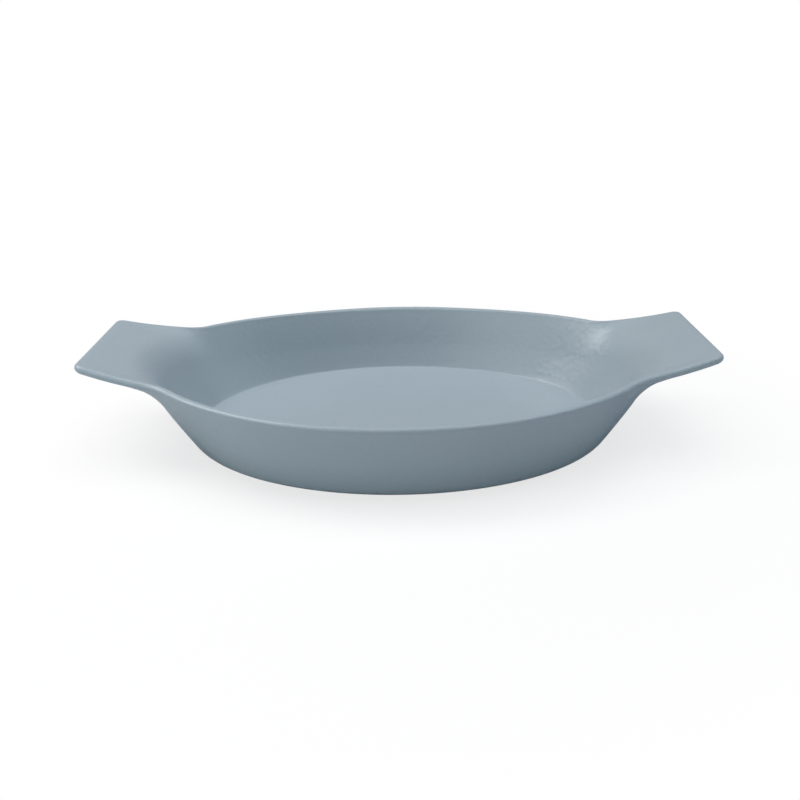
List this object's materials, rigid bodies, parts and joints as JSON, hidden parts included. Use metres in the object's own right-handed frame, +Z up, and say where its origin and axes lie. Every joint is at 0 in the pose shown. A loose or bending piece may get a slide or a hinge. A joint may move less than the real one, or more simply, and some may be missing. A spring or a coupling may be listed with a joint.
{
  "type": "oval eared bowl",
  "caption": "Shallow oval baking bowl in matte grey-blue glazed stoneware, with flared walls, a rounded rim, a rising lug ear at each end and a low unglazed foot ring.",
  "frame": {"origin": "on the table, under the middle of the bowl", "axes": "+X along the length of the dish, towards the right ear; +Z up, out of the bowl's mouth"},
  "size_m": [0.2498, 0.1506, 0.0424],
  "materials": {
    "glaze": "satin matte",
    "bare_clay": "unglazed"
  },
  "bodies": {
    "root": {"bowl": "glaze", "left_ear": "glaze", "right_ear": "glaze", "foot_ring": "bare_clay"}
  },
  "joints": []
}
